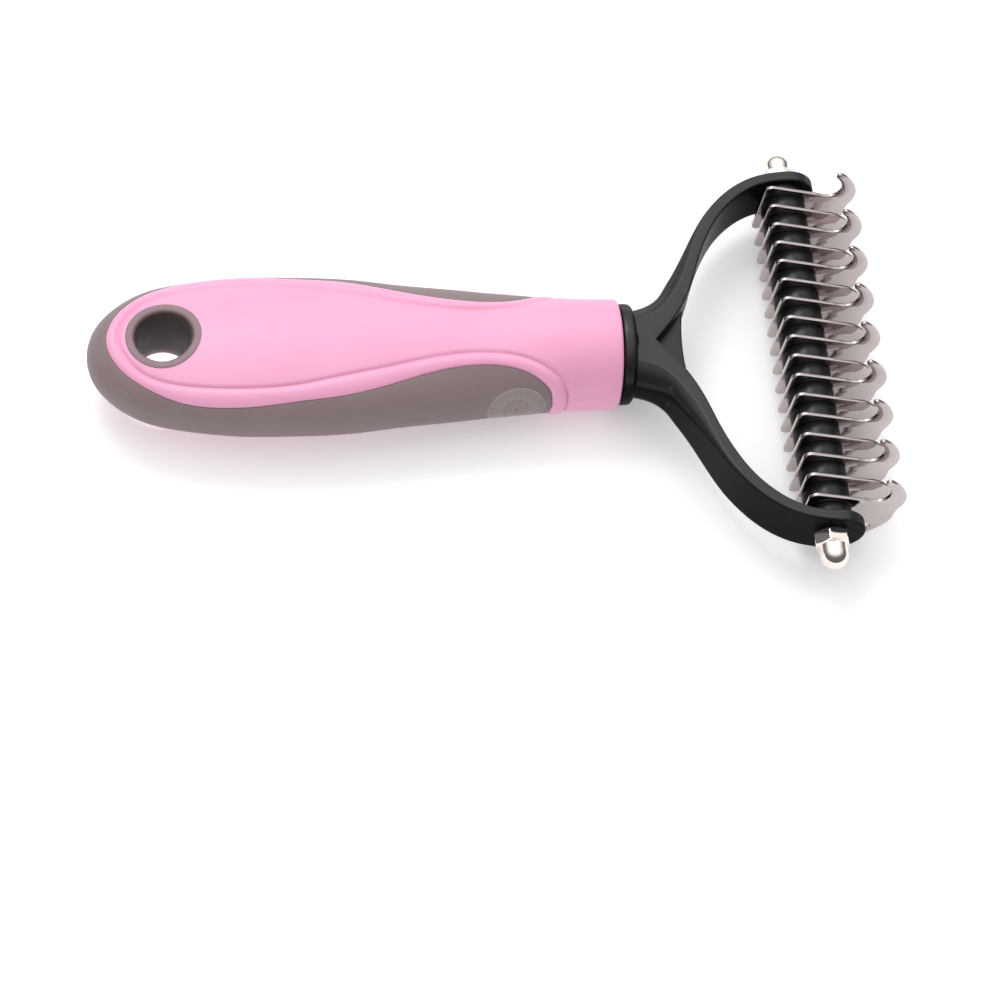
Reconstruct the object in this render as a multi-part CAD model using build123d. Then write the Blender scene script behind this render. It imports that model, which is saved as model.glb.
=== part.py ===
from build123d import *
import math
import os

# Double-sided dematting comb.  Millimetres, +Z up.
# Origin: centre of the hanging hole, on the handle's long axis.
# +X runs along the handle towards the comb head, Y along the row of plates
# (far = +Y, near = -Y), Z through the thickness of the handle.

os.makedirs("parts", exist_ok=True)

# --- handle dimensions -----------------------------------------------------
FERRULE_X = 98.3          # hole centre to the sleeve's end face
FERRULE_R = 12.15         # sleeve radius at the head end
END_ROUND = 0.8           # rounding of the sleeve's end
CORE_INSET = 2.4          # thickness of the soft overmould on the side zones
HOLE_BORE_R = 5.9         # hanging hole, clear radius
LINER_R = 8.1             # hole in the handle that takes the liner
LINER_GAP = 0.02          # radial gap around the liner
LINER_HALF = 9.1          # half height of the liner
LINER_ROUND = 0.7
SOCKET_R = 6.1            # blind socket for the fork's tang
SOCKET_DEPTH = 24.0
CUT_H = 40                # height of cuts right through the handle
PANEL_CUT_Y = 30          # half width of the panel cut, clear of the handle
PANEL_CUT_OVER = 5        # how far the panel cut runs past the sleeve's end

# handle sections: x, half width (Y), half thickness (Z), superellipse power
SECTIONS = [
    (-16.3, 1.3, 1.1, 2.0),
    (-15.7, 4.0, 3.4, 2.1),
    (-14.2, 7.0, 5.5, 2.2),
    (-11.6, 10.0, 7.2, 2.3),
    (-7.5, 13.2, 8.3, 2.4),
    (-2.9, 15.5, 8.8, 2.45),
    (2.5, 16.9, 9.1, 2.45),
    (7.9, 17.8, 9.6, 2.4),
    (18.8, 18.75, 10.5, 2.3),
    (28.5, 18.76, 10.9, 2.2),
    (39.5, 18.24, 10.9, 2.2),
    (51.5, 16.8, 10.6, 2.1),
    (63.5, 15.4, 10.6, 2.1),
    (73.5, 14.1, 10.8, 2.05),
    (81.5, 13.2, 11.4, 2.0),
    (87.0, 12.6, 11.9, 2.0),
    (91.0, 12.25, 12.1, 2.0),
    (94.0, FERRULE_R, FERRULE_R, 2.0),
    (96.2, FERRULE_R, FERRULE_R, 2.0),
    (FERRULE_X, FERRULE_R, FERRULE_R, 2.0),
]
SECTION_POINTS = 28       # spline points round one section

# the inner body starts at its own section, then follows SECTIONS in this range
INNER_START = (-13.0, 6.2, 5.2, 2.2)
INNER_FROM_X, INNER_TO_X = -11.6, 91.0

# plan outline of the hard panel: x, half width; mirrored about Y = 0
PANEL = [
    (-12.2, 0.0), (-11.6, 3.2), (-9.8, 6.6), (-6.6, 9.9), (-1.5, 13.1),
    (5.0, 15.4), (12.9, 16.4), (20.0, 16.4), (28.5, 15.6), (38.5, 14.5),
    (46.7, 12.6), (54.8, 10.3), (63.3, 8.5), (70.0, 7.9), (74.5, 8.3),
    (78.5, 9.6), (81.5, 11.6), (83.4, 14.5),
]

# --- tie rod, plate, spacer and nut dimensions -----------------------------
HEAD_X = FERRULE_X + 43.2 # centre of the arms' rounded ends, plate datum
ROD_X = HEAD_X - 1.1      # tie rod axis
ARM_IN_Y = 42.9           # inner face of an arm at the rod
ARM_OUT_Y = 45.6          # outer face of an arm at the rod
ROD_R = 2.0
ROD_HALF = ARM_OUT_Y + 5.6
ROD_CHAMFER = 0.4
BORE_R = ROD_R + 0.1      # rod bore of the fork, plates and spacers
PITCH = 5.0
PLATE_T = 0.8
N_PLATES = 17
SPACER_R = 5.1
NUT_AF = 7.0              # across the hexagon's flats
NUT_HEX_H = 3.2
NUT_CONE_BASE_R = NUT_AF / 2 + 1.0   # cone that trims the hexagon's corners
NUT_CONE_TOP_R = NUT_AF / 2 - 0.25
NUT_H = 8.2
NUT_DOME_R = 3.15
NUT_HOLE = 6.0            # depth of the nut's blind hole
NUT_BORE_R = ROD_R + 0.05

# --- fork dimensions -------------------------------------------------------
COLLAR_R = 11.1
COLLAR_L = 3.4
COLLAR_ROUND = 0.9
ARM_H = 6.3               # half height of the arms (Z); also the end radius
SIDE_L = 48               # straight part of the arms' side view, back from HEAD_X
SIDE_W = 120              # width (Y) of the tools that span both arms
SEAT_GAP = 0.3            # radial gap round the end spacers' seats
TANG_R = 6.0
TANG_L = 22.0             # length inside the socket
TANG_LAP = 2              # length inside the collar
LAND_ROUND = 0.45         # rounding between the land and the inner face

# One arm in plan, x from HEAD_X: inner edge x, y and outer edge x, y of the
# flat land, and how far the rounded outer side stands beyond it.
ARM = [
    (-40.2, -0.3, -40.2, 5.60, 4.40),
    (-38.2, -0.3, -38.2, 5.70, 4.40),
    (-36.0, -0.3, -35.8, 6.35, 4.10),
    (-34.4, 1.1, -33.9, 7.9, 3.60),
    (-32.0, 4.2, -32.4, 9.4, 3.30),
    (-29.9, 6.9, -31.5, 10.6, 3.10),
    (-28.4, 9.6, -30.4, 12.1, 2.95),
    (-27.1, 12.4, -29.2, 14.0, 2.68),
    (-25.9, 15.3, -27.9, 16.3, 2.33),
    (-25.0, 18.1, -26.8, 18.9, 1.98),
    (-24.1, 20.9, -25.7, 21.5, 1.65),
    (-23.1, 23.6, -24.7, 24.2, 1.38),
    (-22.0, 26.2, -23.7, 26.9, 1.11),
    (-20.8, 28.7, -22.5, 29.5, 0.94),
    (-19.5, 31.1, -21.3, 32.0, 0.76),
    (-18.1, 33.3, -19.7, 34.4, 0.65),
    (-16.5, 35.4, -18.0, 36.7, 0.56),
    (-14.7, 37.3, -16.1, 38.8, 0.48),
    (-12.7, 39.1, -14.0, 40.7, 0.43),
    (-10.6, 40.6, -11.6, 42.3, 0.41),
    (-8.3, 41.9, -9.1, 43.6, 0.40),
    (-5.9, 42.8, -6.3, 44.5, 0.40),
    (-3.3, 43.25, -3.6, 45.05, 0.40),
    (-0.6, 43.35, -0.7, 45.2, 0.40),
    (2.1, 43.35, 2.1, 45.2, 0.40),
    (7.0, 43.35, 7.0, 45.2, 0.40),
]

# sunken web between the arms' roots: plan points, x from HEAD_X and y
WEB_HALF_H = 2.2
WEB_TIP = (-36.4, 0)
WEB_SHOULDER = (-29.6, 9.2)
WEB_CORNER = (-27.8, 9.6)
WEB_ARC_MIDDLE = (-28.7, 0)

# --- plate outlines: curve type and its points, x from HEAD_X and z --------
# shared part: lower hook, then round by the -X edge to the upper -X corner
LOWER_OUTLINE = [
    (Spline, [(13.6, 0.8), (13.45, -0.7), (13.3, -2.4), (12.6, -4.3),
              (11.4, -6.1), (9.8, -7.9), (8.4, -9.5), (7.5, -10.6)]),
    (ThreePointArc, [(7.5, -10.6), (6.75, -10.85), (6.55, -10.1)]),
    (Spline, [(6.55, -10.1), (7.5, -8.7), (8.6, -7.3), (9.25, -6.1),
              (9.1, -5.2), (8.2, -4.75), (7.0, -4.85), (6.0, -5.15)]),
    (Line, [(6.0, -5.15), (-5.1, -8.1)]),
    (ThreePointArc, [(-5.1, -8.1), (-6.6, -7.95), (-7.0, -6.8)]),
    (Line, [(-7.0, -6.8), (-6.3, 5.6)]),
    (ThreePointArc, [(-6.3, 5.6), (-5.75, 6.95), (-4.3, 7.4)]),
]
# plate with an upper hook as well
DOUBLE_HOOK = [
    (Line, [(-4.3, 7.4), (6.0, 4.9)]),
    (Spline, [(6.0, 4.9), (8.3, 4.35), (9.8, 4.7), (10.8, 5.8),
              (11.15, 7.3), (10.95, 8.8), (10.3, 10.2), (9.5, 11.2)]),
    (ThreePointArc, [(9.5, 11.2), (9.35, 12.1), (10.2, 12.55)]),
    (Spline, [(10.2, 12.55), (11.5, 11.7), (12.8, 10.3), (14.0, 8.4),
              (14.75, 6.3), (14.8, 4.2), (14.3, 2.3), (13.6, 0.8)]),
] + LOWER_OUTLINE
# plate with the lower hook only
SINGLE_HOOK = [
    (Line, [(-4.3, 7.4), (8.5, 4.3)]),
    (Spline, [(8.5, 4.3), (10.5, 3.55), (11.9, 2.6), (13.0, 1.6), (13.6, 0.8)]),
] + LOWER_OUTLINE


# --- helpers ---------------------------------------------------------------
def cylinder_x(x, radius, length):
    """Cylinder on the X axis, centred at x."""
    return Pos(x, 0, 0) * Rot(0, 90, 0) * Cylinder(radius, length)


def cylinder_y(radius, length, x=ROD_X, y=0):
    """Cylinder parallel to Y, by default on the rod's axis."""
    return Pos(x, y, 0) * Rot(90, 0, 0) * Cylinder(radius, length)


def largest(shape):
    """The largest solid of a boolean's result."""
    return sorted(shape.solids(), key=lambda solid: solid.volume)[-1]


def save(name, shape):
    export_step(shape, "parts/" + name + ".step")


# --- handle ----------------------------------------------------------------
def superellipse(x, half_width, half_height, power):
    """Closed superellipse wire in the plane X = x."""
    points = []
    for i in range(SECTION_POINTS):
        angle = 2 * math.pi * (i + 0.5) / SECTION_POINTS
        c, s = math.cos(angle), math.sin(angle)
        y = math.copysign(abs(c) ** (2 / power) * half_width, c)
        z = math.copysign(abs(s) ** (2 / power) * half_height, s)
        points.append(Vector(x, y, z))
    return Wire([Spline(*points, periodic=True)])


def body_loft(rows, inset=0.0):
    wires = [superellipse(x, width - inset, height - inset, power)
             for x, width, height, power in rows]
    return Solid.make_loft(wires, ruled=False)


def outer_body():
    """Whole outside shape of the handle."""
    body = body_loft(SECTIONS)
    end_edges = [e for e in body.edges() if abs(e.center().X - FERRULE_X) < 1e-3]
    # the fillet may fail on the lofted surface; the end then stays sharp
    try:
        rounded = fillet(end_edges, END_ROUND)
        if rounded.is_valid:
            body = rounded
    except Exception:
        pass
    return body


def panel_prism():
    """Panel outline, open towards the sleeve, cut through the thickness."""
    upper = [Vector(x, y, 0) for x, y in PANEL]
    lower = [Vector(x, -y, 0) for x, y in reversed(PANEL[1:])]
    panel_edge = Spline(*(lower + upper))
    last_x, last_y = PANEL[-1]
    cut_x = FERRULE_X + PANEL_CUT_OVER
    closing = Polyline((last_x, last_y, 0), (last_x, PANEL_CUT_Y, 0),
                       (cut_x, PANEL_CUT_Y, 0), (cut_x, -PANEL_CUT_Y, 0),
                       (last_x, -PANEL_CUT_Y, 0), (last_x, -last_y, 0))
    face = make_face([panel_edge] + closing.edges())
    return Pos(0, 0, -CUT_H / 2) * extrude(face, CUT_H, dir=(0, 0, 1))


def make_handle():
    """Hard core with its panels and sleeve, and the soft grip around it."""
    outer = outer_body()
    panel = panel_prism()
    inner_rows = [row for row in SECTIONS if INNER_FROM_X <= row[0] <= INNER_TO_X]
    inner = body_loft([INNER_START] + inner_rows, CORE_INSET)

    core = (outer & panel) + inner
    grip = outer - panel - inner
    hole = Cylinder(LINER_R, CUT_H)
    core = core - hole
    grip = grip - hole
    core = core - cylinder_x(FERRULE_X - SOCKET_DEPTH / 2, SOCKET_R, SOCKET_DEPTH)
    return largest(core), largest(grip)


def make_liner():
    liner = Cylinder(LINER_R - LINER_GAP, 2 * LINER_HALF) - Cylinder(HOLE_BORE_R, CUT_H)
    rims = [e for e in liner.edges() if abs(abs(e.center().Z) - LINER_HALF) < 1e-3]
    return largest(fillet(rims, LINER_ROUND))


# --- fork ------------------------------------------------------------------
def arm_section(inner_x, inner_y, outer_x, outer_y, bulge):
    """Closed D-shaped wire: flat inside face, flat lands, rounded outside."""
    width = math.hypot(outer_x - inner_x, outer_y - inner_y)
    dir_x, dir_y = (outer_x - inner_x) / width, (outer_y - inner_y) / width
    drop = max(0.8, 1.25 * bulge)   # height over which the outside rounds off
    # upper half: distance across the arm, z; fractions step round each arc
    profile = [
        (-LAND_ROUND, ARM_H - LAND_ROUND),
        (-0.29 * LAND_ROUND, ARM_H - 0.29 * LAND_ROUND),
        (0, ARM_H),
        (width, ARM_H),
        (width + 0.5 * bulge, ARM_H - 0.134 * drop),
        (width + 0.866 * bulge, ARM_H - 0.5 * drop),
        (width + bulge, ARM_H - drop),
    ]
    profile += [(across, -z) for across, z in reversed(profile)]
    points = [Vector(HEAD_X + inner_x + dir_x * across, inner_y + dir_y * across, z)
              for across, z in profile]
    return Wire(Polyline(*points, close=True).edges())


def arm_solid():
    """The far (+Y) arm, before its end is rounded."""
    return Solid.make_loft([arm_section(*row) for row in ARM], ruled=True)


def make_web():
    def place(point, side=1):
        return (HEAD_X + point[0], side * point[1], 0)

    tip = place(WEB_TIP)
    shoulder, corner = place(WEB_SHOULDER), place(WEB_CORNER)
    near_shoulder, near_corner = place(WEB_SHOULDER, -1), place(WEB_CORNER, -1)
    face = make_face([
        Line(tip, shoulder),
        Line(shoulder, corner),
        ThreePointArc(corner, place(WEB_ARC_MIDDLE), near_corner),
        Line(near_corner, near_shoulder),
        Line(near_shoulder, tip),
    ])
    return Pos(0, 0, -WEB_HALF_H) * extrude(face, 2 * WEB_HALF_H, dir=(0, 0, 1))


def make_fork():
    # side view that rounds the arms' ends
    slab = Pos(HEAD_X - SIDE_L / 2, 0, 0) * Box(SIDE_L, SIDE_W, 2 * ARM_H)
    side = slab + cylinder_y(ARM_H, SIDE_W, x=HEAD_X)
    arms = (arm_solid() & side) + (mirror(arm_solid(), about=Plane.XZ) & side)

    collar = cylinder_x(FERRULE_X + COLLAR_L / 2, COLLAR_R, COLLAR_L)
    collar = fillet(collar.edges(), COLLAR_ROUND)
    tang = cylinder_x(FERRULE_X + (TANG_LAP - TANG_L) / 2, TANG_R, TANG_L + TANG_LAP)
    fork = arms + make_web() + collar + tang
    fork = fork - cylinder_y(BORE_R, SIDE_W)
    # flat seats for the end spacers
    fork = fork - cylinder_y(SPACER_R + SEAT_GAP, 2 * ARM_IN_Y)
    return largest(fork)


# --- comb head -------------------------------------------------------------
def make_plate(outline, y):
    edges = [curve(*[Vector(HEAD_X + x, 0, z) for x, z in points])
             for curve, points in outline]
    solid = extrude(make_face(edges), PLATE_T / 2, dir=(0, 1, 0), both=True)
    solid = solid - cylinder_y(BORE_R, 4)
    return Pos(0, y, 0) * largest(solid)


def make_spacer(y_low, y_high):
    """Tube on the rod between two Y positions."""
    length = y_high - y_low
    middle = (y_low + y_high) / 2
    return largest(cylinder_y(SPACER_R, length, y=middle)
                   - cylinder_y(BORE_R, length + 2, y=middle))


def make_rod():
    rod = cylinder_y(ROD_R, 2 * ROD_HALF)
    return largest(chamfer(rod.edges().filter_by(GeomType.CIRCLE), ROD_CHAMFER))


def make_nut(side):
    """Domed nut: hexagon against the arm, cylinder and dome outwards."""
    hexagon = extrude(RegularPolygon(NUT_AF / 2, 6, major_radius=False), NUT_HEX_H)
    hexagon = hexagon & Pos(0, 0, NUT_HEX_H / 2) * Cone(
        NUT_CONE_BASE_R, NUT_CONE_TOP_R, NUT_HEX_H)
    dome_z = NUT_H - NUT_DOME_R
    barrel = Pos(0, 0, dome_z / 2) * Cylinder(NUT_DOME_R, dome_z)
    dome = Pos(0, 0, dome_z) * Sphere(NUT_DOME_R)
    nut = hexagon + barrel + dome
    nut = nut - Pos(0, 0, NUT_HOLE / 2) * Cylinder(NUT_BORE_R, NUT_HOLE)
    nut = Rot(-90 * side, 0, 0) * nut
    return Pos(ROD_X, side * ARM_OUT_Y, 0) * largest(nut)


# --- write every piece -----------------------------------------------------
handle_core, grip_overmold = make_handle()
save("handle_core", handle_core)
save("grip_overmold", grip_overmold)
save("hang_hole_liner", make_liner())
save("fork", make_fork())
save("tie_rod", make_rod())

# plates run from far to near, the two shapes in turn
y_far = PITCH * (N_PLATES - 1) / 2
half_t = PLATE_T / 2
for k in range(N_PLATES):
    y = y_far - PITCH * k
    outline = DOUBLE_HOOK if k % 2 == 0 else SINGLE_HOOK
    save(f"blade_{k + 1:02d}", make_plate(outline, y))
    if k < N_PLATES - 1:
        save(f"spacer_{k + 1:02d}", make_spacer(y - PITCH + half_t, y - half_t))

save("end_spacer_far", make_spacer(y_far + half_t, ARM_IN_Y))
save("end_spacer_near", make_spacer(-ARM_IN_Y, -y_far - half_t))
save("nut_far", make_nut(1))
save("nut_near", make_nut(-1))
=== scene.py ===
"""Hand tool with seventeen thin blades held between the arms of a fork.

The handle runs along X, from its hanging hole at the low end to the fork at
+X. The rod through the blades runs along Y: near is -Y and far is +Y. Z is up.
Lengths are in millimetres unless noted; MM turns them into metres.
"""
import math

import bmesh
import bpy
import numpy as np
from mathutils import Matrix, Vector
from mathutils.geometry import tessellate_polygon
from mathutils.kdtree import KDTree


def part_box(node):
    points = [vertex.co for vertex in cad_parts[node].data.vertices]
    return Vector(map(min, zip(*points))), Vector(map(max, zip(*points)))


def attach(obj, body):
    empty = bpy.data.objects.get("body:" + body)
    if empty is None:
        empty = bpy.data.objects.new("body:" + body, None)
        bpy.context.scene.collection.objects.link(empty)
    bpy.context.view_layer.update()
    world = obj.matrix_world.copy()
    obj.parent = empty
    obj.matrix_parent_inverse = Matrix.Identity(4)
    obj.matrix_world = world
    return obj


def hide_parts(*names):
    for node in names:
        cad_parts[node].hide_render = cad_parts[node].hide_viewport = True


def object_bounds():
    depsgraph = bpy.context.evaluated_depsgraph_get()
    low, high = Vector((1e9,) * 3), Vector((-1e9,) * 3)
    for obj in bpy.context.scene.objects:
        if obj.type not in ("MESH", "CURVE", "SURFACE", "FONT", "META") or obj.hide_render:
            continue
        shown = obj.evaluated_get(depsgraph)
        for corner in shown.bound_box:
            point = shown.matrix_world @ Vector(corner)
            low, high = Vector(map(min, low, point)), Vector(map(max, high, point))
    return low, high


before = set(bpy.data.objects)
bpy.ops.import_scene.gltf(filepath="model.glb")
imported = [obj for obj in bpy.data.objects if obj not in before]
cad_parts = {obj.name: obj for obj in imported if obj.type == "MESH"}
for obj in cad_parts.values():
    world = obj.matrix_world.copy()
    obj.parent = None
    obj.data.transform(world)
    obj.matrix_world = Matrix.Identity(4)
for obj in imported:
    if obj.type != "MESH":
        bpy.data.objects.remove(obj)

MM = 0.001
CAD_BOX = [list(v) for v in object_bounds()]      # metres


def box_mm(node):
    """Low and high corner of a CAD piece."""
    low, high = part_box(node)
    return np.array(low) / MM, np.array(high) / MM


ARM_H = 6.3                                   # half height of the fork's arms
HOLE_X, HOLE_Y = (sum(box_mm("hang_hole_liner")) / 2)[:2]
FERRULE_X = box_mm("handle_core")[1][0]       # fork end of the handle
ROD_X = (sum(box_mm("tie_rod")) / 2)[0]
HEAD_X = box_mm("fork")[1][0] - ARM_H         # centre of the arms' round ends

# ---------------------------------------------------------------------------
# curve helpers


def cubic(knots, values, at):
    """Natural cubic spline through (knots, values), read at `at`."""
    count = len(knots)
    gap = np.diff(knots)
    slope = np.diff(values) / gap
    system = np.eye(count)
    right = np.zeros(count)
    right[1:-1] = 3 * np.diff(slope)
    for i in range(1, count - 1):
        system[i, i - 1:i + 2] = gap[i - 1], 2 * (gap[i - 1] + gap[i]), gap[i]
    bend = np.linalg.solve(system, right)
    i = np.clip(np.searchsorted(knots, at, side="right") - 1, 0, count - 2)
    past = at - knots[i]
    start = slope[i] - gap[i] * (2 * bend[i] + bend[i + 1]) / 3
    return (values[i] + start * past + bend[i] * past ** 2
            + (bend[i + 1] - bend[i]) / (3 * gap[i]) * past ** 3)


def hermite(knots, values, at):
    """Monotone cubic through (knots, values), read at `at`: no overshoot."""
    gap = np.diff(knots)
    slope = np.diff(values) / gap
    tangent = np.zeros(len(knots))
    tangent[0], tangent[-1] = slope[0], slope[-1]
    for i in range(1, len(knots) - 1):
        if slope[i - 1] * slope[i] > 0:
            before = 2 * gap[i] + gap[i - 1]
            after = gap[i] + 2 * gap[i - 1]
            tangent[i] = (before + after) / (before / slope[i - 1]
                                             + after / slope[i])
    i = np.clip(np.searchsorted(knots, at, side="right") - 1, 0, len(knots) - 2)
    part = np.clip((at - knots[i]) / gap[i], 0, 1)
    return ((1 + 2 * part) * (1 - part) ** 2 * values[i]
            + part * (1 - part) ** 2 * gap[i] * tangent[i]
            + part * part * (3 - 2 * part) * values[i + 1]
            + part * part * (part - 1) * gap[i] * tangent[i + 1])


def chord(points):
    """Distance along a polyline at each of its points."""
    steps = np.linalg.norm(np.diff(points, axis=0), axis=1)
    return np.r_[0, np.cumsum(steps)]


def spline(points, step=0.22):
    points = np.array(points, float)
    run = chord(points)
    at = np.linspace(0, run[-1], int(round(run[-1] / step)) + 1)
    return np.stack([cubic(run, column, at) for column in points.T], 1)


def line(points, step=0.5):
    start, end = np.array(points, float)
    count = int(np.linalg.norm(end - start) / step) + 1
    return start + (end - start) * np.linspace(0, 1, count)[:, None]


def arc(points, count=12):
    """Circular arc from the first point through the second to the third."""
    (ax, ay), (bx, by), (cx, cy) = points
    scale = 2 * (ax * (by - cy) + bx * (cy - ay) + cx * (ay - by))
    mid_x = ((ax ** 2 + ay ** 2) * (by - cy) + (bx ** 2 + by ** 2) * (cy - ay)
             + (cx ** 2 + cy ** 2) * (ay - by)) / scale
    mid_y = ((ax ** 2 + ay ** 2) * (cx - bx) + (bx ** 2 + by ** 2) * (ax - cx)
             + (cx ** 2 + cy ** 2) * (bx - ax)) / scale
    radius = math.hypot(ax - mid_x, ay - mid_y)
    start, middle, end = (math.atan2(y - mid_y, x - mid_x) for x, y in points)
    turn = 2 * math.pi
    if (middle - start) % turn < (end - start) % turn:
        sweep = (end - start) % turn
    else:
        sweep = -((start - end) % turn)
    angle = start + sweep * np.linspace(0, 1, count)
    return np.stack([mid_x + radius * np.cos(angle),
                     mid_y + radius * np.sin(angle)], 1)


def relax(points, first, rounds):
    """Smooth points in place, from index `first` to the last but one."""
    for _ in range(rounds):
        points[first:-1] = (0.25 * points[first - 1:-2] + 0.5 * points[first:-1]
                            + 0.25 * points[first + 1:])


# ---------------------------------------------------------------------------
# mesh helpers

MERGE = 2e-6        # metres
SHARP = 38.0        # degrees


def shade(ob, sharp):
    """Smooth shading except across edges sharper than the given angle."""
    bm = bmesh.new()
    bm.from_mesh(ob.data)
    limit = math.radians(sharp)
    for face in bm.faces:
        face.smooth = True
    for edge in bm.edges:
        edge.smooth = not (len(edge.link_faces) == 2
                           and edge.calc_face_angle(0.0) > limit)
    bm.to_mesh(ob.data)
    bm.free()


def make(name, points, faces, sharp=SHARP, fix_normals=True):
    """Mesh object from points in mm."""
    mesh = bpy.data.meshes.new(name)
    bm = bmesh.new()
    verts = [bm.verts.new((x * MM, y * MM, z * MM)) for x, y, z in points]
    for face in faces:
        try:
            bm.faces.new([verts[i] for i in face])
        except ValueError:
            pass        # guards against a repeated or degenerate triangle
    bmesh.ops.remove_doubles(bm, verts=bm.verts, dist=MERGE)
    bmesh.ops.dissolve_degenerate(bm, edges=bm.edges, dist=MERGE)
    loose = [v for v in bm.verts if not v.link_faces]
    bmesh.ops.delete(bm, geom=loose, context="VERTS")
    if fix_normals:
        bmesh.ops.recalc_face_normals(bm, faces=bm.faces)
    bm.to_mesh(mesh)
    bm.free()
    ob = bpy.data.objects.new(name, mesh)
    bpy.context.scene.collection.objects.link(ob)
    shade(ob, sharp)
    return ob


def grid_faces(rows, cols, start=0, wrap=False, loop=False, flip=False):
    """Quads over points numbered row by row; wrap joins the last column to
    the first, loop the last row to the first."""
    faces = []
    for i in range(rows if loop else rows - 1):
        here = start + i * cols
        there = start + (i + 1) % rows * cols
        for j in range(cols if wrap else cols - 1):
            k = (j + 1) % cols
            if flip:
                faces.append((here + j, there + j, there + k, here + k))
            else:
                faces.append((here + j, here + k, there + k, there + j))
    return faces


def revolve(name, profile, axis, segments, centre_x=0.0, sharp=SHARP,
            closed=False):
    """Surface turned about an axis parallel to X or Y. Profile rows are
    (radius, distance along the axis); closed joins its last row to its first."""
    points = []
    for radius, along in profile:
        for k in range(segments):
            angle = 2 * math.pi * k / segments
            side = radius * math.cos(angle)
            z = radius * math.sin(angle)
            x, y = (along, side) if axis == "X" else (side, along)
            points.append((x + centre_x, y, z))
    faces = grid_faces(len(profile), segments, wrap=True, loop=closed)
    return make(name, points, faces, sharp)


def boolean(ob, other, operation):
    """Apply a boolean to ob and remove the other object."""
    modifier = ob.modifiers.new("b", "BOOLEAN")
    modifier.operation = operation
    modifier.solver = "EXACT"
    modifier.object = other
    depsgraph = bpy.context.evaluated_depsgraph_get()
    mesh = bpy.data.meshes.new_from_object(ob.evaluated_get(depsgraph))
    ob.modifiers.clear()
    ob.data = mesh
    bpy.data.objects.remove(other)


# ---------------------------------------------------------------------------
# the handle's outer surface: superellipse sections along X

# x, half width, half thickness, power of the superellipse
STATIONS = np.array([
    (-16.3, 1.3, 1.1, 2.0), (-15.7, 4.0, 3.4, 2.1), (-14.2, 7.0, 5.5, 2.2),
    (-11.6, 10.0, 7.2, 2.3), (-7.5, 13.2, 8.3, 2.4), (-2.9, 15.5, 8.8, 2.45),
    (2.5, 16.9, 9.1, 2.45), (7.9, 17.8, 9.6, 2.4), (18.8, 18.75, 10.5, 2.3),
    (28.5, 18.76, 10.9, 2.2), (39.5, 18.24, 10.9, 2.2),
    (51.5, 16.8, 10.6, 2.1), (63.5, 15.4, 10.6, 2.1), (73.5, 14.1, 10.8, 2.05),
    (81.5, 13.2, 11.4, 2.0), (87.0, 12.6, 11.9, 2.0), (91.0, 12.25, 12.1, 2.0),
    (94.5, 12.15, 12.15, 2.0), (FERRULE_X, 12.15, 12.15, 2.0)])
POLE = np.array([(-16.36, 0.0, 0.0, 2.0)])    # tip of the handle


def skin_table():
    """Distance along the half width curve from the tip, and the columns of
    STATIONS read finely along it."""
    # the first stations, mirrored, carry the curves smoothly through the tip
    mirrored = STATIONS[:2][::-1] * np.array([1, -1, -1, 1])
    knots = np.vstack([mirrored, POLE, STATIONS])
    run = chord(knots[:, :2])
    run -= run[2]
    at = np.linspace(0, run[-1], 6000)
    x, half_w, half_t, power = (
        curve(run, column, at)
        for curve, column in zip((hermite, cubic, cubic, hermite), knots.T))
    x = np.maximum.accumulate(x + np.arange(len(x)) * 1e-9)
    half_w[0] = half_t[0] = 0.0
    return at, (x, half_w, half_t, power)


RUN, SKIN = skin_table()


def skin_at(run):
    """x, half width, half thickness and power at a distance from the tip."""
    return [np.interp(run, RUN, column) for column in SKIN]


def section(x):
    """Half width, half thickness and power at x."""
    return [np.interp(x, SKIN[0], column) for column in SKIN[1:]]


def skin_z(x, y):
    half_w, half_t, power = section(x)
    inside = 1 - min(1.0, abs(y) / half_w) ** power
    return half_t * max(0.0, inside) ** (1 / power)


def skin_normal(x, half_w, half_t, power, y, z, tapered=True):
    """Outward unit normals at points (y, z) of the section at x."""
    across = np.abs(y / half_w)
    up = np.abs(z / half_t)
    along = np.zeros_like(y)
    if tapered:
        w_slope, t_slope, _ = ((ahead - behind) / 0.5 for ahead, behind in
                               zip(section(x + 0.25), section(x - 0.25)))
        along = -(across ** power * w_slope / half_w
                  + up ** power * t_slope / half_t)
    normal = np.stack([along, np.sign(y) * across ** (power - 1) / half_w,
                       np.sign(z) * up ** (power - 1) / half_t], -1)
    return normal / np.linalg.norm(normal, axis=-1, keepdims=True)


def skin_point(x, angle):
    """Point and normal of the skin at x and section angle."""
    half_w, half_t, power = section(x)
    c, s = math.cos(angle), math.sin(angle)
    y = half_w * math.copysign(abs(c) ** (2 / power), c)
    z = half_t * math.copysign(abs(s) ** (2 / power), s)
    return np.array([x, y, z]), skin_normal(x, half_w, half_t, power, y, z)


# Plan outlines as (x, half width): the edge of the pink panel, and the
# groove inside it. The upper panel differs on the near side, and both
# outlines differ below the side line.
PANEL = [(-12.2, 0), (-11.6, 3.2), (-9.8, 6.6), (-6.6, 9.9), (-1.5, 13.1),
         (5, 15.4), (12.9, 16.4), (20, 16.4), (28.5, 15.6), (38.5, 14.5),
         (46.7, 12.6), (54.8, 10.3), (63.3, 8.5), (70, 7.9), (74.5, 8.3),
         (78.5, 9.6), (81.3, 11.6), (82.5, 12.8), (83.0, 14.5)]
PANEL_NEAR = PANEL[:12] + [
    (63.3, 8.55), (67.8, 8.2), (73.2, 8.5), (77.6, 9.6), (81.3, 11.3),
    (83.0, 12.65), (83.5, 14.5)]
PANEL_LOW = PANEL[:12] + [
    (63.3, 8.4), (70, 7.5), (75.5, 7.1), (79.6, 7.4), (81.8, 9.0),
    (82.9, 11.2), (83.15, 12.9), (83.2, 14.5)]
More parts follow.
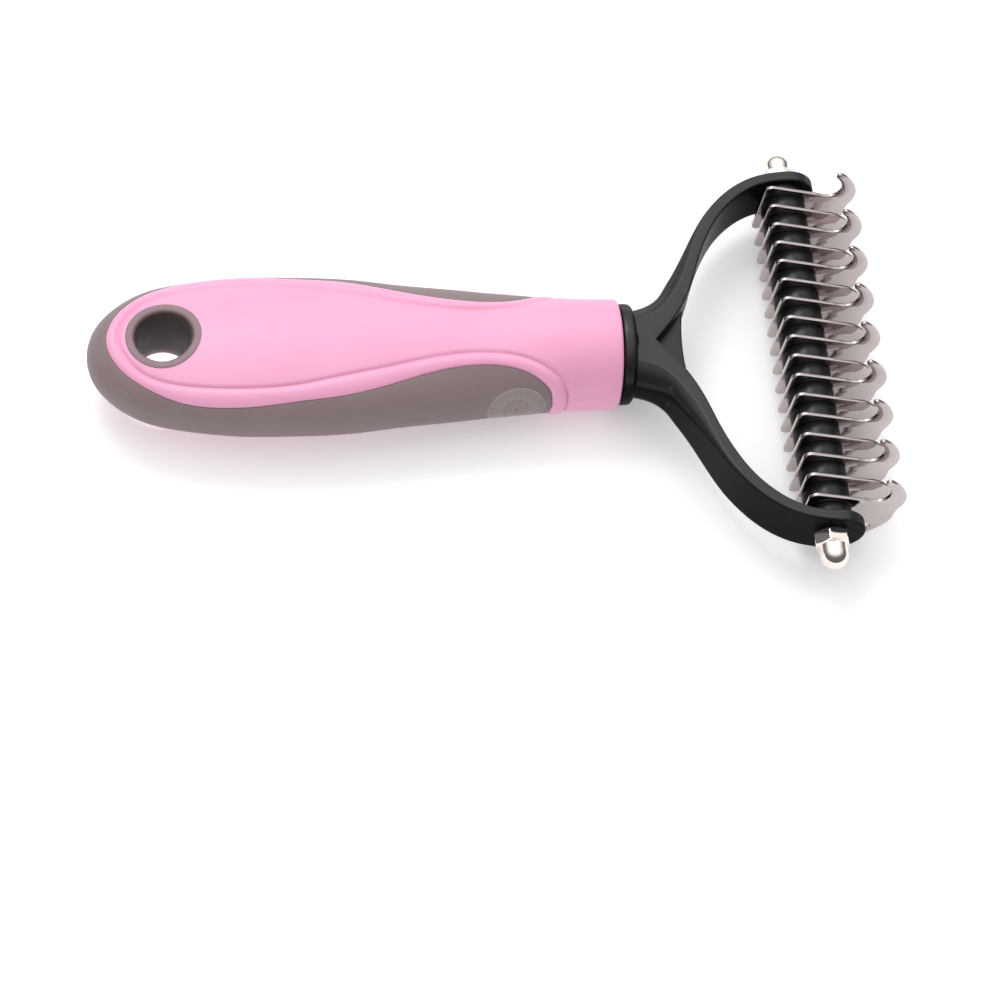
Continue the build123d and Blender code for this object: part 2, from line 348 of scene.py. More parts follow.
GROOVE = [(-9.8, 0), (-9.25, 2.5), (-7.3, 6.1), (-4.3, 9.1), (-0.5, 10.9),
          (5, 12.2), (12.4, 13.0), (19.9, 13.2), (29, 12.5), (37.1, 11.0),
          (45.2, 9.3), (53.5, 7.4), (61.7, 6.0), (69, 5.65), (75, 6.3),
          (79.8, 7.9), (83.6, 9.9), (86.0, 11.7), (86.6, 12.7), (86.9, 14.5)]
GROOVE_LOW = GROOVE[:13] + [
    (69, 5.5), (76, 5.3), (81.7, 5.8), (84.9, 7.6), (86.2, 10.2),
    (86.55, 12.4), (86.6, 14.5)]


def plan_curve(outline):
    """Fine x and half width along an outline that crosses y = 0 squarely."""
    knots = np.array(outline, float)
    knots = np.vstack([[knots[1, 0], -knots[1, 1]], knots])
    run = chord(knots)
    run -= run[1]
    at = np.linspace(0, run[-1], 3000)
    x, half = (cubic(run, column, at) for column in knots.T)
    return np.maximum.accumulate(x + np.arange(len(x)) * 1e-9), half


GROOVE_CURVE = plan_curve(GROOVE)
PANEL_EDGE = {"far": plan_curve(PANEL), "near": plan_curve(PANEL_NEAR),
              "low": plan_curve(PANEL_LOW)}
GROOVE_EDGE = {"far": GROOVE_CURVE, "near": GROOVE_CURVE,
               "low": plan_curve(GROOVE_LOW)}
PANEL_X0 = PANEL_EDGE["far"][0][0]
GROOVE_X0 = GROOVE_CURVE[0][0]
RUN_OUT_X = 50      # past this x the outlines may run out over the side line


def half_at(x, curve):
    return np.interp(x, *curve, left=0.0, right=99.0)


# ---------------------------------------------------------------------------
# grid of points over the skin

ROUND_END = 0.8     # radius of the rounded edge at the ferrule
ROUND_ROWS = 9


def row_step(run, x):
    """Distance to the next row: closer where the panel's ends are."""
    if -12.7 <= x < -9.0:
        # even steps in x where the outline turns across the handle
        ahead, behind = skin_at(run + 0.05), skin_at(run - 0.05)
        tilt = math.atan2(ahead[1] - behind[1], ahead[0] - behind[0])
        return 0.10 / max(0.25, math.cos(tilt))
    for limit, step in ((-16.0, 0.30), (-12.7, 0.24), (-4, 0.30), (70, 0.8),
                        (88.5, 0.25)):
        if x < limit:
            return step
    return 0.9


def skin_rows():
    """Rows (x, half width, half thickness, power) from tip to ferrule."""
    rows = []
    run = 0.0
    while run < RUN[-1] - 0.02:
        row = skin_at(run)
        if row[0] < FERRULE_X - ROUND_END - 0.2:
            rows.append(row)
        run += row_step(run, row[0])
    for angle in np.linspace(0, math.pi / 2, ROUND_ROWS):
        radius = STATIONS[-1, 1] - ROUND_END + ROUND_END * math.cos(angle)
        x = FERRULE_X - ROUND_END + ROUND_END * math.sin(angle)
        rows.append([x, radius, radius, 2.0])
    return np.array(rows)


ROWS = skin_rows()
ROW_COUNT = len(ROWS)
ROW_X = ROWS[:, :1]

# distances of the columns from the panel's edge towards the side, from the
# edge and the groove into the rim between them, and from the groove inwards;
# then the number of even columns that fill up each stretch
SIDE = np.array([0, .07, .14, .22, .31, .42, .56, .75, 1.0, 1.35, 1.8])
RIM_EDGE = np.array([.07, .14, .22, .31, .42, .56])
RIM_GROOVE = np.array([.62, .48, .38, .29, .21, .13, .06, 0])
INNER = np.array([.06, .13, .21, .29, .38, .48, .62, .85, 1.2])
SIDE_FILL, RIM_FILL, INNER_FILL = 14, 8, 15

EDGE_COL = len(SIDE) + SIDE_FILL - 1                 # on the panel's edge
GROOVE_COL = EDGE_COL + len(RIM_EDGE) + RIM_FILL + len(RIM_GROOVE)
QUARTER = GROOVE_COL + 1 + len(INNER) + INNER_FILL   # columns in a quarter


def quarter(half_w, half_t, power, panel, groove):
    """Angles of the columns of one quarter section, from the side (0) to the
    crown (90 degrees), following the panel's edge and the groove."""
    angle = np.linspace(0, math.pi / 2, 500)
    y = half_w * np.cos(angle).clip(0) ** (2 / power)
    z = half_t * np.sin(angle).clip(0) ** (2 / power)
    run = np.r_[0, np.cumsum(np.hypot(np.diff(y), np.diff(z)))]
    edge_run, groove_run = (0.0 if half >= half_w else np.interp(-half, -y, run)
                            for half in (panel, groove))
    groove_run = max(groove_run, edge_run)
    side = edge_run - SIDE * min(1.0, edge_run / 2.6)
    side = np.r_[side, np.linspace(side[-1], 0, SIDE_FILL + 1)[1:]][::-1]
    shrink = min(1.0, (groove_run - edge_run) / 1.7)
    rim_edge = edge_run + RIM_EDGE * shrink
    rim_groove = groove_run - RIM_GROOVE * shrink
    rim_fill = np.linspace(rim_edge[-1], rim_groove[0], RIM_FILL + 2)[1:-1]
    inner = groove_run + INNER * min(1.0, (run[-1] - groove_run) / 1.8)
    inner_fill = np.linspace(inner[-1], run[-1], INNER_FILL + 1)[1:]
    columns = np.r_[side, rim_edge, rim_fill, rim_groove, inner, inner_fill]
    return np.interp(columns, run, angle)


# once round the section: sign of y, sign of z and quarter column; the
# columns at the crowns and the sides are shared
SIGN_Y, SIGN_Z, COL = np.array(
    [(1, 1, c) for c in range(QUARTER)]
    + [(-1, 1, c) for c in range(QUARTER - 2, -1, -1)]
    + [(-1, -1, c) for c in range(1, QUARTER)]
    + [(1, -1, c) for c in range(QUARTER - 2, 0, -1)]).T
COL_COUNT = len(COL)
PARTS = {"far": (SIGN_Z > 0) & (SIGN_Y > 0), "near": (SIGN_Z > 0) & (SIGN_Y < 0),
         "low": SIGN_Z < 0}


def skin_grid():
    """Points and normals of the grid, and where the panel's edge and the
    groove have run out over the side line."""
    points = np.zeros((ROW_COUNT, COL_COUNT, 3))
    normals = np.zeros_like(points)
    panel_out = np.zeros((ROW_COUNT, COL_COUNT), bool)
    groove_out = np.zeros_like(panel_out)
    for i, (x, half_w, half_t, power) in enumerate(ROWS):
        if half_w < 0.01:
            points[i] = (x, 0, 0)
            normals[i] = (-1, 0, 0)
            continue
        angle = np.zeros(COL_COUNT)
        for part, mask in PARTS.items():
            panel = half_at(x, PANEL_EDGE[part])
            groove = half_at(x, GROOVE_EDGE[part])
            angles = quarter(half_w, half_t, power, panel, groove)
            angle[mask] = angles[COL[mask]]
            if x > RUN_OUT_X:
                panel_out[i, mask] = panel >= half_w
                groove_out[i, mask] = groove >= half_w
        y = SIGN_Y * half_w * np.cos(angle).clip(0) ** (2 / power)
        z = SIGN_Z * half_t * np.sin(angle).clip(0) ** (2 / power)
        points[i] = np.stack([np.full(COL_COUNT, x), y, z], 1)
        normals[i] = skin_normal(x, half_w, half_t, power, y, z,
                                 tapered=i < ROW_COUNT - ROUND_ROWS)
    return points, normals, panel_out, groove_out


GRID, NORMALS, PANEL_OUT, GROOVE_OUT = skin_grid()


def distance_to(edges, step=0.08):
    """Distance of every grid point to an outline laid on the skin."""
    traced = []
    for sign_y, sign_z, part in ((1, 1, "far"), (-1, 1, "near"),
                                 (1, -1, "low"), (-1, -1, "low")):
        curve = np.stack(edges[part], 1)
        run = chord(curve)
        at = np.arange(0, run[-1], step)
        for x, y in zip(*(np.interp(at, run, column) for column in curve.T)):
            if y <= section(x)[0]:
                traced.append((x, sign_y * y, sign_z * skin_z(x, y)))
            elif x > RUN_OUT_X:
                break
    tree = KDTree(len(traced))
    for k, point in enumerate(traced):
        tree.insert(point, k)
    tree.balance()
    return np.array([tree.find(point)[2] for point in
                     GRID.reshape(-1, 3)]).reshape(ROW_COUNT, COL_COUNT)


TO_EDGE = distance_to(PANEL_EDGE)
TO_GROOVE = distance_to(GROOVE_EDGE)

# ---------------------------------------------------------------------------
# handle pieces

BEAD = 0.42             # height of the rim between edge and groove
GROOVE_DEPTH, GROOVE_W = 0.38, 0.55
HOLE_R = 8.0            # hole cut through the body for the liner


def handle_body():
    """Pink body: raised rim and groove on the panel, sunk under the grip."""
    in_pink = (((COL >= EDGE_COL) & (ROW_X > PANEL_X0))
               | (ROW_X > 84.0) | PANEL_OUT)
    in_panel = (((COL >= GROOVE_COL) & (ROW_X > GROOVE_X0))
                | (ROW_X > 87.2) | GROOVE_OUT)
    across = TO_EDGE / np.maximum(TO_EDGE + TO_GROOVE, 1e-6)
    # the relief fades out where the groove reaches the side, and the rim is
    # lower at the ferrule end of the far side
    fade = np.clip((88.2 - ROW_X) / 1.0, 0, 1)
    lower = 1 - 0.7 * np.clip((ROW_X - 70) / 8, 0, 1) * (SIGN_Y > 0)
    bead = lower * fade * BEAD * np.sin(np.pi * across) ** 0.75
    relief = np.where(in_pink & ~in_panel, bead, 0)
    relief -= fade * GROOVE_DEPTH * np.exp(-(TO_GROOVE / GROOVE_W) ** 2)
    relief -= np.where(in_pink, 0.22 * np.exp(-(TO_EDGE / 0.16) ** 2), 0)
    offset = np.where(in_pink, relief, -1.6 - 0.6 * np.minimum(TO_EDGE, 1))
    points = (GRID + NORMALS * offset[..., None]).reshape(-1, 3)
    faces = grid_faces(ROW_COUNT, COL_COUNT, wrap=True)
    faces.append(tuple(range(COL_COUNT)))
    last = (ROW_COUNT - 1) * COL_COUNT
    faces.append(tuple(last + k for k in reversed(range(COL_COUNT))))
    body = make("handle_body", points, faces, sharp=50)

    cutter = revolve("cut", [(HOLE_R, -14), (HOLE_R, 14)], "X", segments=160)
    cutter.data.transform(Matrix.Rotation(math.radians(90), 4, "Y"))
    cutter.data.transform(Matrix.Translation((HOLE_X * MM, HOLE_Y * MM, 0)))
    boolean(body, cutter, "DIFFERENCE")
    shade(body, 50)
    return body


def grip_rubber():
    """Grey overmould: the skin outside the panel's edge, as a closed shell."""
    sink = -0.24 * np.exp(-(TO_EDGE / 0.18) ** 2)
    layers = (GRID + NORMALS * sink[..., None], GRID - NORMALS * 1.25)
    numbers, points, faces, edges = {}, [], [], {}

    def vert(layer, i, j):
        key = (layer, i, j)
        if key not in numbers:
            numbers[key] = len(points)
            points.append(layers[layer][i, j])
        return numbers[key]

    def spot(corner):
        return tuple(np.round(GRID[corner], 4))

    for i in range(ROW_COUNT - 1):
        if ROWS[i + 1, 0] > 83.6:
            break
        for j in range(COL_COUNT):
            k = (j + 1) % COL_COUNT
            if max(COL[j], COL[k]) > EDGE_COL or (PANEL_OUT[i, j]
                                                  and PANEL_OUT[i + 1, j]):
                continue
            quad = [(i, j), (i, k), (i + 1, k), (i + 1, j)]
            faces.append(tuple(vert(0, *corner) for corner in quad))
            faces.append(tuple(vert(1, *corner) for corner in reversed(quad)))
            for a, b in zip(quad, quad[1:] + quad[:1]):
                ends = frozenset((spot(a), spot(b)))
                if len(ends) == 2:
                    edges.setdefault(ends, []).append((a, b))
    # walls between the layers, along edges that only one quad uses
    for uses in edges.values():
        if len(uses) == 1:
            a, b = uses[0]
            faces.append((vert(0, *a), vert(1, *a), vert(1, *b), vert(0, *b)))
    return make("grip_rubber", points, faces, sharp=50)


DOT_X, DOT_R = 75.4, 6.2        # centre and radius of the patch of dots
DOT_R0 = 0.60                   # radius of its innermost ring
DOT_RINGS = 20


def grip_dots():
    """Fine raised dots on curved spokes, in a round patch on either side."""
    points, faces = [], []
    for part, base, turn in (("near", math.pi, -1), ("far", 0, 1)):
        for k in range(DOT_RINGS):
            ring = DOT_R0 + k * (DOT_R - DOT_R0) / (DOT_RINGS - 1)
            count = 72 if ring > 3.0 else (36 if ring > 1.5 else 18)
            size = (0.12 + 0.05 * ring / DOT_R
                    + (0.05 if k == DOT_RINGS - 1 else 0.0))
            for m in range(count):
                spoke = 2 * math.pi * m / count + 0.25 * ring / DOT_R
                x = DOT_X + ring * math.cos(spoke)
                half_w, half_t, _ = section(x)
                rise = math.atan2(ring * math.sin(spoke) / half_t, 1.0)
                centre, normal = skin_point(x, base + turn * rise)
                # stay on the rubber
                panel = half_at(x, PANEL_EDGE[part])
                if panel >= half_w or abs(centre[1]) < panel + 0.5:
                    continue
                along = np.cross(normal, (0, 0, 1.0))
                along /= np.linalg.norm(along)
                across = np.cross(normal, along)
                top = len(points)
                points.append(centre + normal * 0.13)
                for share, height in ((0.7, 0.09), (1.0, -0.10)):
                    for b in range(6):
                        angle = 2 * math.pi * b / 6
                        points.append(centre + normal * height + size * share * (
                            along * math.cos(angle) + across * math.sin(angle)))
                upper, lower = top + 1, top + 7
                for b in range(6):
                    c = (b + 1) % 6
                    faces.append((top, upper + b, upper + c))
                    faces.append((upper + b, lower + b, lower + c, upper + c))
                faces.append(tuple(lower + b for b in reversed(range(6))))
    return make("grip_dots", points, faces, sharp=80)


# lip of the hanging hole: radius, height above the skin; the lower mouth
# flares out a little more
LIP = [(8.06, -0.9), (8.12, -0.25), (8.10, 0.0), (7.96, 0.10), (7.7, 0.14),
       (7.35, 0.14), (7.0, 0.10), (6.75, 0.02), (6.52, -0.14),
       (6.28, -0.34), (6.08, -0.65), (5.96, -1.1), (5.9, -1.7), (5.9, -2.4)]
LIP_LOW = LIP[:9] + [(6.42, -0.8), (6.3, -1.6), (6.12, -2.8), (5.9, -4.4)]


def hole_liner(segments=160):
    """Liner of the hanging hole: a soft lip that follows the skin."""
    points = []
    for k in range(segments):
        angle = 2 * math.pi * k / segments
        c, s = math.cos(angle), math.sin(angle)

        def lip(profile):
            column = []
            for radius, height in profile:
                reach = max(radius, 6.6)
                z = (0.5 * skin_z(HOLE_X + reach * c, reach * s)
                     + 0.5 * skin_z(HOLE_X + 7.6 * c, 7.6 * s))
                column.append((HOLE_X + radius * c, radius * s, z + height))
            return column

        points += lip(LIP)
        points += [(x, y, -z) for x, y, z in reversed(lip(LIP_LOW))]
    faces = grid_faces(segments, len(LIP) + len(LIP_LOW), wrap=True, loop=True,
                       flip=True)
    return make("hole_liner", points, faces, sharp=60)


body = handle_body()
grip = grip_rubber()
dots = grip_dots()
liner = hole_liner()

# ---------------------------------------------------------------------------
# fork: two strap arms with rounded backs, a web, a collar and a groove

# the arm's flat land in plan: inner x, y and outer x, y, then the depth of
# the back outside it; x from HEAD_X
ARM = np.array([
    (-40.2, -0.3, -40.2, 5.6, 4.40), (-38.2, -0.3, -38.2, 5.70, 4.40),
    (-36.0, -0.3, -35.8, 6.35, 4.15), (-34.4, 1.1, -33.9, 7.9, 3.75),
    (-32.0, 4.2, -32.4, 9.4, 3.40), (-29.9, 6.9, -31.5, 10.6, 3.16),
    (-28.4, 9.6, -30.4, 12.1, 2.95), (-27.1, 12.4, -29.2, 14.0, 2.68),
    (-25.9, 15.3, -27.9, 16.3, 2.33), (-25.0, 18.1, -26.8, 18.9, 1.98),
    (-24.1, 20.9, -25.7, 21.5, 1.65), (-23.1, 23.6, -24.7, 24.2, 1.38),
    (-22.0, 26.2, -23.7, 26.9, 1.11), (-20.8, 28.7, -22.5, 29.5, 0.94),
    (-19.5, 31.1, -21.3, 32.0, 0.76), (-18.1, 33.3, -19.7, 34.4, 0.65),
    (-16.5, 35.4, -18.0, 36.7, 0.56), (-14.7, 37.3, -16.1, 38.8, 0.48),
    (-12.7, 39.1, -14.0, 40.7, 0.43), (-10.6, 40.6, -11.6, 42.3, 0.41),
    (-8.3, 41.9, -9.1, 43.6, 0.40), (-5.9, 42.8, -6.3, 44.5, 0.40),
    (-3.3, 43.25, -3.6, 45.05, 0.40), (0.0, 43.35, 0.0, 45.2, 0.40)])
ARM_ROUND = 0.45        # rounding of the inner edges


def arm_profile(land, depth):
    """Upper half of the arm's section as (distance outwards, z), from the
    middle of the inner face over the land to the middle of the back."""
    drop = max(0.8, 1.25 * depth)
    # where the back is deep it leaves the land at a crease
    crease = math.radians(38) * min(1.0, max(0.0, (depth - 0.5) / 1.6))
    s, c = math.sin(crease), math.cos(crease)
    ease = 0.22 * min(1.0, crease)
    flat_z = ARM_H - ARM_ROUND
    profile = [(-ARM_ROUND, z) for z in np.linspace(0, flat_z, 6)[:-1]]
    profile += [(-ARM_ROUND + ARM_ROUND * (1 - math.cos(a)),
                 flat_z + ARM_ROUND * math.sin(a))
                for a in np.linspace(0, math.pi / 2, 7)]
    profile += [(land * share, ARM_H) for share in (0.25, 0.5, 0.75)]
    profile += [(land - ease, ARM_H), (land - 0.3 * ease, ARM_H - 0.12 * ease)]
    profile += [(land + depth * (math.sin(a) - s) / (1 - s),
                 ARM_H - drop + drop * math.cos(a) / c - 0.35 * ease * math.cos(a))
                for a in np.linspace(crease, math.pi / 2, 13)]
    return profile + [(land + depth, z)
                      for z in np.linspace(ARM_H - drop, 0, 5)[1:]]


def arm(sign):
    """Arm on the +Y (1) or -Y (-1) side."""
    run = chord(0.5 * (ARM[:, :2] + ARM[:, 2:4]))
    at = np.linspace(0, run[-1], 120)
    plan = np.stack([hermite(run, column, at) for column in ARM.T], 1)
    # take the facets out of the plan curves; the inner edge keeps its crotch
    relax(plan[:, :2], int(np.searchsorted(at, run[3])), rounds=36)
    relax(plan[:, 2:], 3, rounds=36)
    outwards = plan[:, 2:4] - plan[:, :2]
    outwards /= np.linalg.norm(outwards, axis=1)[:, None]
    backs = plan[:, 2:4] + outwards * plan[:, 4:5]
    relax(backs, 3, rounds=90)
    points = []
    for row, back in zip(plan, backs):
        inner, outer = row[:2], row[2:4]
        land = math.hypot(*(outer - inner))
        depth = math.hypot(*(back - outer))
        across = (outer - inner) / land
        beyond = (back - outer) / depth
        upper = []
        for out, z in arm_profile(land, depth):
            if out <= land:
                x, y = inner + across * out
            else:
                x, y = outer + beyond * (out - land)
            upper.append((HEAD_X + x, sign * y, z))
        points += upper + [(x, y, -z) for x, y, z in reversed(upper[1:-1])]
    ring = 2 * len(upper) - 2
    faces = grid_faces(len(plan), ring, wrap=True, flip=sign > 0)
    faces.append(tuple(range(ring)))
    # round end: the last half section turned about Y
    start, turns = len(points), 37
    for angle in np.linspace(math.pi / 2, -math.pi / 2, turns):
        points += [(x + z * math.cos(angle), y, z * math.sin(angle))
                   for x, y, z in upper]
    faces += grid_faces(turns, len(upper), start=start)
    return make("arm", points, faces, sharp=40)


WEB_H = 2.6             # half height
WEB_ROUND = 0.4         # rounding of its concave front edge


def web():
    """Plate in the crotch between the arms, hollowed towards +X."""
    front = arc([(-27.75, 9.8), (-28.65, 0.0), (-27.75, -9.8)], 40)
    plan = np.array([(-36.6, 0.0), (-30.2, 9.0), (-29.0, 10.2),
                     *front, (-29.0, -10.2), (-30.2, -9.0)])
    eased = plan.copy()
    eased[3:3 + len(front), 0] -= WEB_ROUND
    # z, share of the easing
    layers = ((-WEB_H, 1.0), (-WEB_H + 0.12, 0.4), (-WEB_H + WEB_ROUND, 0.0),
              (WEB_H - WEB_ROUND, 0.0), (WEB_H - 0.12, 0.4), (WEB_H, 1.0))
    points = [(HEAD_X + x + (eased_x - x) * share, y, z)
              for z, share in layers
              for (x, y), (eased_x, _) in zip(plan, eased)]
    count = len(plan)
    faces = grid_faces(len(layers), count, wrap=True)
    faces.append(tuple(range(count))[::-1])
    last = (len(layers) - 1) * count
    faces.append(tuple(last + k for k in range(count)))
    return make("web", points, faces, sharp=40)


# distance past the ferrule, radius
COLLAR = [
    (-3.0, 0), (-3.0, 5.5), (0.0, 5.5), (0.0, 9.7), (0.18, 9.7), (0.25, 10.55),
    (0.40, 10.86), (0.62, 11.02), (0.95, 11.1), (1.5, 11.1), (2.0, 11.1),
    (2.3, 11.06), (2.6, 10.94), (2.9, 10.72), (3.12, 10.42), (3.28, 10.05),
    (3.36, 9.6), (3.42, 8.9), (3.46, 8.0), (3.55, 7.3), (3.75, 6.85),
    (4.05, 6.5), (4.4, 6.2), (4.4, 0)]
SEAT_R = 5.3


def fork_body():
    fork = arm(1)
    fork.name = "fork_body"
    boolean(fork, arm(-1), "UNION")
    boolean(fork, web(), "UNION")
    collar = [(radius, FERRULE_X + along) for along, radius in COLLAR]
    boolean(fork, revolve("collar", collar, "X", segments=128), "UNION")
    # flat seats for the end tubes
    seat_y = box_mm("end_spacer_far")[1][1]
    profile = [(0, -seat_y), (SEAT_R, -seat_y), (SEAT_R, seat_y), (0, seat_y)]
    seat = revolve("seat", profile, "Y", segments=96, centre_x=ROD_X)
    boolean(fork, seat, "DIFFERENCE")
    shade(fork, 34)
    return fork


fork = fork_body()

# ---------------------------------------------------------------------------
# plates: outlines run clockwise in x, z about HEAD_X

LOWER = [(spline, [(13.6, 0.8), (13.45, -0.7), (13.3, -2.4), (12.6, -4.3),
                   (11.4, -6.1), (9.8, -7.9), (8.4, -9.5), (7.5, -10.6)]),
         (arc, [(7.5, -10.6), (6.75, -10.85), (6.55, -10.1)]),
         (spline, [(6.55, -10.1), (7.5, -8.7), (8.6, -7.3), (9.25, -6.1),
                   (9.1, -5.2), (8.2, -4.75), (7.0, -4.85), (6.0, -5.15)]),
         (line, [(6.0, -5.15), (-5.1, -8.1)]),
         (arc, [(-5.1, -8.1), (-6.6, -7.95), (-7.0, -6.8)]),
         (line, [(-7.0, -6.8), (-6.3, 5.6)]),
         (arc, [(-6.3, 5.6), (-5.75, 6.95), (-4.3, 7.4)])]
HOOKED = [(line, [(-4.3, 7.4), (6.0, 4.9)]),
          (spline, [(6.0, 4.9), (8.3, 4.35), (9.8, 4.7), (10.8, 5.8),
                    (11.15, 7.3), (10.95, 8.8), (10.3, 10.2), (9.5, 11.2)]),
          (arc, [(9.5, 11.2), (9.35, 12.1), (10.2, 12.55)]),
          (spline, [(10.2, 12.55), (11.5, 11.7), (12.8, 10.3), (14.0, 8.4),
                    (14.75, 6.3), (14.8, 4.2), (14.3, 2.3), (13.6, 0.8)])]
PLAIN = [(line, [(-4.3, 7.4), (8.5, 4.3)]),
         (spline, [(8.5, 4.3), (10.5, 3.55), (11.9, 2.6), (13.0, 1.6),
                   (13.6, 0.8)])]
BORE_R, BORE_SEGMENTS = 2.1, 48


def outline(parts):
    """Closed outline of the parts, turned to run anticlockwise."""
    return np.concatenate([curve(points)[:-1] for curve, points in parts])[::-1]


def plate(node, name, plan):
    """Plate with eased edges and a bore, as thick as its CAD piece."""
    low, high = box_mm(node)
    centre_y = 0.5 * (low[1] + high[1])
    half = (high[1] - low[1]) / 2
    before = plan - np.roll(plan, 1, axis=0)
    after = np.roll(plan, -1, axis=0) - plan
    before /= np.linalg.norm(before, axis=1)[:, None]
    after /= np.linalg.norm(after, axis=1)[:, None]
    along = before + after
    normals = np.stack([along[:, 1], -along[:, 0]], 1)
    normals /= np.linalg.norm(normals, axis=1)[:, None]
    count = len(plan)
    # y from the middle, inset of the outline
    layers = [(-half, 0.13), (-half + 0.035, 0.045), (-half + 0.12, 0.0),
              (half - 0.12, 0.0), (half - 0.035, 0.045), (half, 0.13)]
    points = [(HEAD_X + x - normal_x * inset, centre_y + y, z - normal_z * inset)
              for y, inset in layers
              for (x, z), (normal_x, normal_z) in zip(plan, normals)]
    faces = grid_faces(len(layers), count, wrap=True)
    angles = [2 * math.pi * k / BORE_SEGMENTS for k in range(BORE_SEGMENTS)]
    bore = [(ROD_X + BORE_R * math.cos(a), BORE_R * math.sin(a)) for a in angles]
    bore_start = len(points)
    for y, rim in ((-half, 0), (half, (len(layers) - 1) * count)):
        start = len(points)
        points += [(x, centre_y + y, z) for x, z in bore]
        outer = [Vector((x, z, 0)) for x, _, z in points[rim:rim + count]]
        inner = [Vector((x, z, 0)) for x, z in reversed(bore)]
        numbers = [rim + k for k in range(count)]
        numbers += [start + k for k in reversed(range(BORE_SEGMENTS))]
        for triangle in tessellate_polygon([outer, inner]):
            faces.append(tuple(numbers[k] for k in triangle))
    faces += grid_faces(2, BORE_SEGMENTS, start=bore_start, wrap=True)
    return make(name, points, faces, sharp=28)


HOOKED_PLAN, PLAIN_PLAN = outline(HOOKED + LOWER), outline(PLAIN + LOWER)
plates = [(f"blade_{k:02d}", plate(f"blade_{k:02d}", f"plate_{k:02d}",
                                   HOOKED_PLAN if k % 2 else PLAIN_PLAN))
          for k in range(1, 18)]

# ---------------------------------------------------------------------------
# tubes between the plates and at the ends

TUBE_BORE_R = 2.15
TUBE_GAP = 0.012        # clearance at each end
TUBE_EASE = 0.22        # easing of the outer edges


def tube(node, name):
    low, high = box_mm(node)
    radius = 0.5 * (high[0] - low[0])
    start, end = low[1] + TUBE_GAP, high[1] - TUBE_GAP
    profile = [
        (TUBE_BORE_R, start), (radius - TUBE_EASE, start),
        (radius - 0.06, start + 0.09), (radius, start + TUBE_EASE),
        (radius, 0.5 * (start + end)), (radius, end - TUBE_EASE),
        (radius - 0.06, end - 0.09), (radius - TUBE_EASE, end),
        (TUBE_BORE_R, end)]
    return revolve(name, profile, "Y", segments=72, centre_x=ROD_X, sharp=50,
                   closed=True)


tube_names = [(f"spacer_{k:02d}", f"tube_{k:02d}") for k in range(1, 17)]
tube_names += [(f"end_spacer_{end}", f"end_tube_{end}")
               for end in ("near", "far")]
tubes = [(node, tube(node, name)) for node, name in tube_names]

# ---------------------------------------------------------------------------
# domed nuts

FLAT_R = 7.0 / 2        # half the width across flats
HEX_H = 3.2
DOME_R = 3.15
NUT_SEGMENTS = 180


def nut(node, name, turn):
    """Domed hexagon nut, its base towards the fork, turned about the rod."""
    low, high = box_mm(node)
    near = high[1] < 0
    base_y, sign = (high[1], -1) if near else (low[1], 1)
    dome_h = high[1] - low[1] - DOME_R
    face_r = FLAT_R * 0.965

    def profile(hex_r):
        """Rows of (radius, height) where the hexagon's radius is hex_r."""
        chamfer = (hex_r - face_r) * 0.577
        rows = [(0.0, 0.0), (face_r - 0.1, 0.0), (face_r, 0.04),
                (hex_r, 0.06 + chamfer), (hex_r, HEX_H / 2),
                (hex_r, HEX_H - 0.06 - chamfer), (face_r, HEX_H - 0.04),
                (face_r - 0.1, HEX_H), (DOME_R + 0.12, HEX_H + 0.005),
                (DOME_R + 0.03, HEX_H + 0.05), (DOME_R, HEX_H + 0.18),
                (DOME_R, dome_h - 0.5)]
        return rows + [(DOME_R * math.cos(a), dome_h + DOME_R * math.sin(a))
                       for a in np.linspace(0, math.pi / 2, 22)]

    angles = [2 * math.pi * k / NUT_SEGMENTS for k in range(NUT_SEGMENTS)]
    corner_r = FLAT_R / math.cos(math.pi / 6) * 0.982
    columns = []
    for angle in angles:
        off_flat = (angle + math.pi / 6) % (math.pi / 3) - math.pi / 6
        columns.append(profile(min(FLAT_R / math.cos(off_flat), corner_r)))
    rows = list(zip(*columns))
    points = [(ROD_X + radius * math.cos(angle + turn), base_y + sign * height,
               radius * math.sin(angle + turn))
              for row in rows for angle, (radius, height) in zip(angles, row)]
    faces = grid_faces(len(rows), NUT_SEGMENTS, wrap=True)
    return make(name, points, faces, sharp=24)


nuts = [(f"nut_{end}", nut(f"nut_{end}", f"cap_nut_{end}", math.radians(turn)))
        for end, turn in (("near", 17), ("far", -8))]

# ---------------------------------------------------------------------------
# materials


